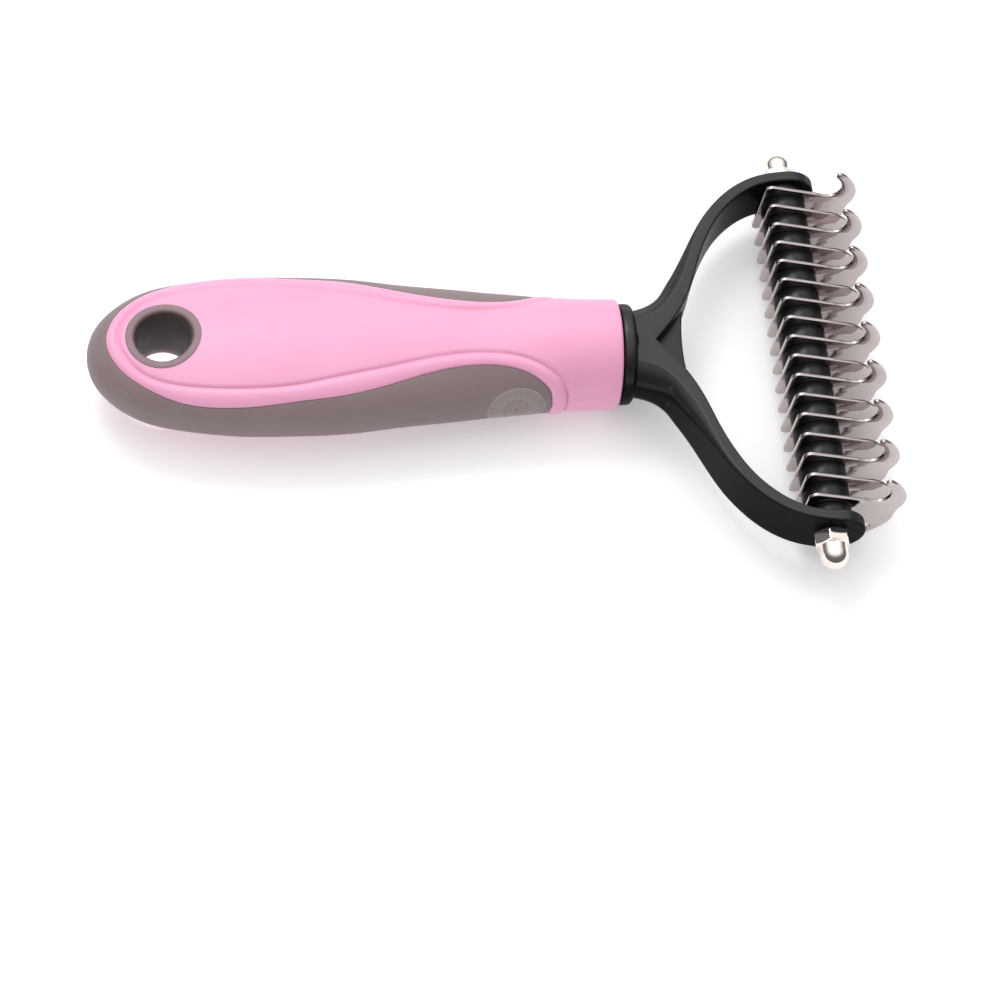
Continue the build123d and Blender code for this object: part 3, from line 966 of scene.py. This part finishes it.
class Graph:
    """Node tree with one shader on its output and texture coordinates."""

    def __init__(self, owner, output, shader):
        owner.use_nodes = True
        self.tree = owner.node_tree
        self.tree.nodes.clear()
        out = self.node(output)
        self.shader = self.node(shader)
        self.link(self.shader.outputs[0], out.inputs[0])
        self.coords = self.node("TexCoord")
        self.place = self.coords.outputs["Object"]

    def node(self, kind):
        return self.tree.nodes.new("ShaderNode" + kind)

    def link(self, source, target):
        self.tree.links.new(source, target)

    def feed(self, name, source):
        """Link a source to an input of the shader."""
        self.link(source, self.shader.inputs[name])

    def values(self, inputs):
        for name, value in inputs.items():
            self.shader.inputs[name].default_value = value

    def noise(self, scale, detail=4.0, roughness=0.55, stretch=None):
        place = self.place
        if stretch is not None:
            mapping = self.node("Mapping")
            mapping.inputs["Scale"].default_value = stretch
            self.link(place, mapping.inputs["Vector"])
            place = mapping.outputs[0]
        noise = self.node("TexNoise")
        noise.inputs["Scale"].default_value = scale
        noise.inputs["Detail"].default_value = detail
        noise.inputs["Roughness"].default_value = roughness
        self.link(place, noise.inputs["Vector"])
        return noise.outputs["Fac"]

    def ramp(self, factor, stops):
        """Colour ramp; stops are (position, colour)."""
        ramp = self.node("ValToRGB")
        elements = ramp.color_ramp.elements
        while len(elements) < len(stops):
            elements.new(0.5)
        for element, (position, color) in zip(elements, stops):
            element.position = position
            element.color = (*color, 1)
        self.link(factor, ramp.inputs[0])
        return ramp.outputs[0]

    def tones(self, factor, low, high):
        """Drift between two colours over the middle of a noise."""
        return self.ramp(factor, [(0.3, low), (0.7, high)])

    def remap(self, factor, to, span=(0.3, 0.7)):
        """Map the span of the factor to another range."""
        node = self.node("MapRange")
        for name, value in zip(("From Min", "From Max", "To Min", "To Max"),
                               (*span, *to)):
            node.inputs[name].default_value = value
        self.link(factor, node.inputs["Value"])
        return node.outputs[0]

    def mix(self, factor, first, second):
        """Mix two colours, each a tuple or a socket."""
        node = self.node("Mix")
        node.data_type = "RGBA"
        self.link(factor, node.inputs[0])
        for k, color in ((6, first), (7, second)):
            if isinstance(color, tuple):
                node.inputs[k].default_value = (*color, 1)
            else:
                self.link(color, node.inputs[k])
        return node.outputs[2]

    def bump(self, *heights):
        """Chain of bumps; heights are (factor, distance in mm)."""
        last = None
        for factor, distance in heights:
            node = self.node("Bump")
            node.inputs["Strength"].default_value = 1.0
            node.inputs["Distance"].default_value = distance * MM
            self.link(factor, node.inputs["Height"])
            if last is not None:
                self.link(last, node.inputs["Normal"])
            last = node.outputs[0]
        self.feed("Normal", last)

    def vector_math(self, operation, source, operand):
        node = self.node("VectorMath")
        node.operation = operation
        node.inputs[1].default_value = operand
        self.link(source, node.inputs[0])
        return node.outputs

    def painted_edge_highlight(self, span):
        """0 to 1 over a span of pointiness, for a painted highlight on sharp convex edges.
        """
        geometry = self.node("NewGeometry")
        return self.remap(geometry.outputs["Pointiness"], to=(0.0, 1.0), span=span)

    def from_hole(self, to, radii):
        """Value that changes between two radii (mm) from the axis of the
        hanging hole."""
        flat = self.vector_math("MULTIPLY", self.place, (1, 1, 0))[0]
        centre = (HOLE_X * MM, HOLE_Y * MM, 0)
        distance = self.vector_math("DISTANCE", flat, centre)["Value"]
        return self.remap(distance, to=to, span=[r * MM for r in radii])

    def upward(self, to):
        """Specular level that falls off where the surface mirrors the ground."""
        coords = self.node("TexCoord")
        split = self.node("SeparateXYZ")
        self.link(coords.outputs["Reflection"], split.inputs[0])
        self.feed("Specular IOR Level",
                  self.remap(split.outputs[2], to=to, span=(-0.35, 0.15)))


def material(name, build):
    made = bpy.data.materials.new(name)
    build(Graph(made, "OutputMaterial", "BsdfPrincipled"))
    return made


def pink(g):
    broad = g.noise(scale=45, detail=3)
    medium = g.noise(scale=420, detail=4)
    fine = g.noise(scale=5200, detail=2)
    base = g.tones(broad, low=(0.880, 0.385, 0.590), high=(0.915, 0.420, 0.622))
    flow = g.noise(scale=120, detail=5, roughness=0.6, stretch=(0.35, 1.0, 1.0))
    base = g.mix(g.remap(flow, to=(0.0, 0.35), span=(0.45, 0.8)), base,
                 (0.94, 0.47, 0.66))
    # duller in the light it bounces onto its surroundings
    light_path = g.node("LightPath")
    base = g.mix(light_path.outputs["Is Diffuse Ray"], base, (0.66, 0.37, 0.48))
    g.feed("Base Color", base)
    g.feed("Roughness", g.remap(medium, to=(0.36, 0.50)))
    g.values({"Subsurface Weight": 0.12, "Subsurface Radius": (1.0, 0.45, 0.6),
              "Subsurface Scale": 0.0016, "Specular IOR Level": 0.42})
    g.bump((medium, 0.010), (fine, 0.003))


def rubber(low, high, roughness, stipple=0.016, bore=False):
    """Rubber between two tones; bore paints shade on the wall of the hanging hole, darkest
    low down.
    """
    def build(g):
        broad = g.noise(scale=60)
        fine = g.noise(scale=2600, detail=3, roughness=0.6)
        grain = g.noise(scale=7000, detail=2)
        smear = g.noise(scale=300, detail=5, roughness=0.65, stretch=(0.5, 1, 1))
        base = g.tones(broad, low, high)
        base = g.mix(g.remap(smear, to=(0.0, 0.30), span=(0.5, 0.85)), base,
                     tuple(c * 1.22 for c in high))
        if bore:
            # painted shade: the hole's wall is darkened, more the lower it lies
            split = g.node("SeparateXYZ")
            g.link(g.place, split.inputs[0])
            height = g.remap(split.outputs[2], to=(0.0, 1.0),
                             span=(0.0062, 0.0078))
            painted_bore_shade = g.mix(height, (0.040, 0.028, 0.028), (0.105, 0.078, 0.066))
            base = g.mix(g.from_hole(to=(0.0, 1.0), radii=(6.15, 6.7)), painted_bore_shade, base)
        g.feed("Base Color", base)
        g.feed("Roughness", g.remap(smear, to=roughness))
        g.values({"Specular IOR Level": 0.24, "Sheen Weight": 0.06,
                  "Sheen Roughness": 0.5})
        g.bump((fine, stipple), (grain, 0.006))
    return build


def nylon(g):
    broad = g.noise(scale=70)
    fine = g.noise(scale=3000, detail=3, roughness=0.6)
    fleck = g.noise(scale=1500, detail=2, roughness=0.5, stretch=(0.4, 1, 1))
    base = g.tones(broad, low=(0.0055, 0.0050, 0.0058),
                   high=(0.0090, 0.0083, 0.0094))
    base = g.mix(g.remap(fleck, to=(0.0, 0.5), span=(0.6, 0.85)), base,
                 (0.016, 0.015, 0.017))
    # painted highlight: lighter along the fork's sharp edges
    base = g.mix(g.painted_edge_highlight(span=(0.53, 0.66)), base, (0.035, 0.033, 0.037))
    g.feed("Base Color", base)
    g.feed("Roughness", g.remap(fine, to=(0.28, 0.38)))
    g.upward(to=(0.03, 0.54))
    g.bump((fine, 0.010), (broad, 0.03))


def tube_black(g):
    broad = g.noise(scale=150)
    fine = g.noise(scale=3600, detail=3, roughness=0.6)
    rings = g.noise(scale=900, detail=2, roughness=0.5, stretch=(0.15, 3.0, 0.15))
    g.feed("Base Color", g.tones(broad, low=(0.006, 0.006, 0.0065),
                                 high=(0.010, 0.0095, 0.0105)))
    g.feed("Roughness", g.remap(fine, to=(0.28, 0.40)))
    g.upward(to=(0.05, 0.36))
    g.bump((rings, 0.006), (fine, 0.004))


def steel(g):
    broad = g.noise(scale=130, detail=5)
    lines = g.noise(scale=1400, detail=4, roughness=0.6, stretch=(0.12, 1.0, 2.2))
    spots = g.noise(scale=700, detail=2)
    base = g.tones(broad, low=(0.455, 0.405, 0.398), high=(0.535, 0.480, 0.470))
    base = g.mix(g.remap(lines, to=(0.0, 0.25), span=(0.5, 0.8)), base,
                 (0.40, 0.355, 0.35))
    g.feed("Base Color", base)
    g.values({"Metallic": 1.0})
    g.feed("Roughness", g.remap(spots, to=(0.06, 0.11)))
    g.bump((lines, 0.0012), (broad, 0.010))


def plated(g):
    broad = g.noise(scale=220)
    fine = g.noise(scale=1900, detail=3)
    base = g.tones(broad, low=(0.78, 0.715, 0.655), high=(0.88, 0.82, 0.755))
    # painted highlight: whiter along the nut's sharp edges
    base = g.mix(g.painted_edge_highlight(span=(0.56, 0.70)), base, (0.93, 0.90, 0.86))
    g.feed("Base Color", base)
    g.values({"Metallic": 1.0})
    g.feed("Roughness", g.remap(fine, to=(0.05, 0.11)))
    g.bump((broad, 0.010), (fine, 0.0016))


MATERIALS = {name: material(name, build) for name, build in (
    ("pink_plastic", pink),
    ("grey_rubber", rubber(low=(0.243, 0.182, 0.186), high=(0.272, 0.207, 0.211),
                           roughness=(0.50, 0.64))),
    ("liner_rubber", rubber(low=(0.288, 0.201, 0.216), high=(0.312, 0.220, 0.236),
                            roughness=(0.50, 0.62), stipple=0.010, bore=True)),
    ("dot_rubber", rubber(low=(0.47, 0.415, 0.405), high=(0.56, 0.50, 0.49),
                          roughness=(0.38, 0.50), stipple=0.006)),
    ("black_nylon", nylon),
    ("spacer_plastic", tube_black),
    ("blade_steel", steel),
    ("rod_steel", steel),
    ("nut_plated", plated))}


def dress(ob, name, slot, *nodes):
    """Give a piece its material, hang it under the root body and hide the CAD pieces it
    stands for.
    """
    ob.data.materials.clear()
    ob.data.materials.append(MATERIALS[name])
    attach(ob, "root")
    if nodes:
        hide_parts(*nodes)


dress(body, "pink_plastic", "pink_plastic", "handle_core")
dress(grip, "grey_rubber", "grey_rubber", "grip_overmold")
dress(dots, "dot_rubber", "grey_rubber")
dress(liner, "liner_rubber", "liner_rubber", "hang_hole_liner")
dress(fork, "black_nylon", "black_nylon", "fork")
for name, pieces in (("blade_steel", plates), ("spacer_plastic", tubes),
                     ("nut_plated", nuts)):
    for node, ob in pieces:
        dress(ob, name, name, node)
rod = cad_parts["tie_rod"]
rod.data.materials.clear()
rod.data.materials.append(MATERIALS["rod_steel"])

# ---------------------------------------------------------------------------
# floor

FLOOR_Z = (CAD_BOX[0][2] - 0.0002) / MM
FLOOR_SIZE = 6000
FLOOR_CELLS = 24


def floor_white(g):
    broad = g.noise(scale=3.0, detail=3)
    fine = g.noise(scale=900, detail=3)
    g.feed("Base Color", g.tones(broad, low=(0.86, 0.855, 0.865),
                                 high=(0.89, 0.885, 0.89)))
    # glows a little all over, and a painted pool of light glows under the hanging hole
    glow = g.node("Math")
    glow.operation = "ADD"
    glow.inputs[1].default_value = 0.27
    g.link(g.from_hole(to=(0.85, 0.0), radii=(7.0, 11.0)), glow.inputs[0])
    g.feed("Emission Strength", glow.outputs[0])
    g.values({"Emission Color": (1.0, 0.985, 0.995, 1), "Roughness": 0.85,
              "Specular IOR Level": 0.1})
    g.bump((fine, 0.004))


ticks = [(i / FLOOR_CELLS - 0.5) * FLOOR_SIZE for i in range(FLOOR_CELLS + 1)]
floor = make("floor", [(x, y, FLOOR_Z) for x in ticks for y in ticks],
             grid_faces(len(ticks), len(ticks)), fix_normals=False)
floor.data.flip_normals()       # the grid is built facing down
floor.data.materials.append(material("floor_white", floor_white))

# ---------------------------------------------------------------------------
# light, in metres

scene = bpy.context.scene
MID_X = 0.5 * (CAD_BOX[0][0] + CAD_BOX[1][0])


def studio():
    """Dome that is brightest overhead, leaning to the far side."""
    world = bpy.data.worlds.new("studio")
    scene.world = world
    g = Graph(world, "OutputWorld", "Background")
    brightest = Vector((-0.05, 0.34, 0.94)).normalized()
    facing = g.vector_math("DOT_PRODUCT", g.coords.outputs["Generated"], brightest)
    g.feed("Color", g.ramp(facing["Value"], [
        (0.0, (0.10, 0.10, 0.105)), (0.40, (0.14, 0.14, 0.145)),
        (0.62, (0.55, 0.55, 0.56)), (0.82, (0.97, 0.97, 0.98)),
        (1.0, (1.0, 1.0, 1.0))]))
    g.values({"Strength": 1.42})


def area(name, location, size, power, color):
    """Rectangular light aimed at the middle of the tool."""
    light = bpy.data.lights.new(name, "AREA")
    light.shape = "RECTANGLE"
    light.size, light.size_y = size
    light.energy = power
    light.color = color
    ob = bpy.data.objects.new(name, light)
    ob.location = location
    aim = Vector((MID_X, 0, 0)) - Vector(location)
    ob.rotation_euler = aim.to_track_quat("-Z", "Y").to_euler()
    scene.collection.objects.link(ob)
    return ob


studio()
area("key", location=(MID_X - 0.25, 0.55, 0.95), size=(0.5, 0.4), power=3.2,
     color=(1.0, 0.99, 0.98))
fill = area("fill", location=(MID_X - 0.15, -0.75, 0.80), size=(0.6, 0.4),
            power=1.6, color=(1.0, 0.985, 0.99))
fill.visible_glossy = False

# ---------------------------------------------------------------------------
# camera: place in mm, and its own axes

CAMERA_AT = (1.3923201923181807, -330.54736123621063, 513.8370547818556)
CAMERA_RIGHT = (0.9932249033218544, -0.06752414291815163, 0.09457685522611661)
CAMERA_UP = (0.00577577290519404, 0.8415371137960569, 0.5401684242448366)
CAMERA_BACK = (-0.11606434365747481, -0.5359624765102229, 0.8362256226069541)

lens = bpy.data.cameras.new("camera")
lens.sensor_width = 36.0
lens.sensor_fit = "HORIZONTAL"
lens.lens = 101.613384
lens.shift_y = -0.14
lens.clip_start = 0.01
lens.clip_end = 50
camera = bpy.data.objects.new("camera", lens)
pose = Matrix.Identity(4)
for i in range(3):
    pose[i] = (CAMERA_RIGHT[i], CAMERA_UP[i], CAMERA_BACK[i], CAMERA_AT[i] * MM)
camera.matrix_world = pose
scene.collection.objects.link(camera)
scene.camera = camera
scene.view_settings.view_transform = "Standard"

bpy.context.view_layer.update()
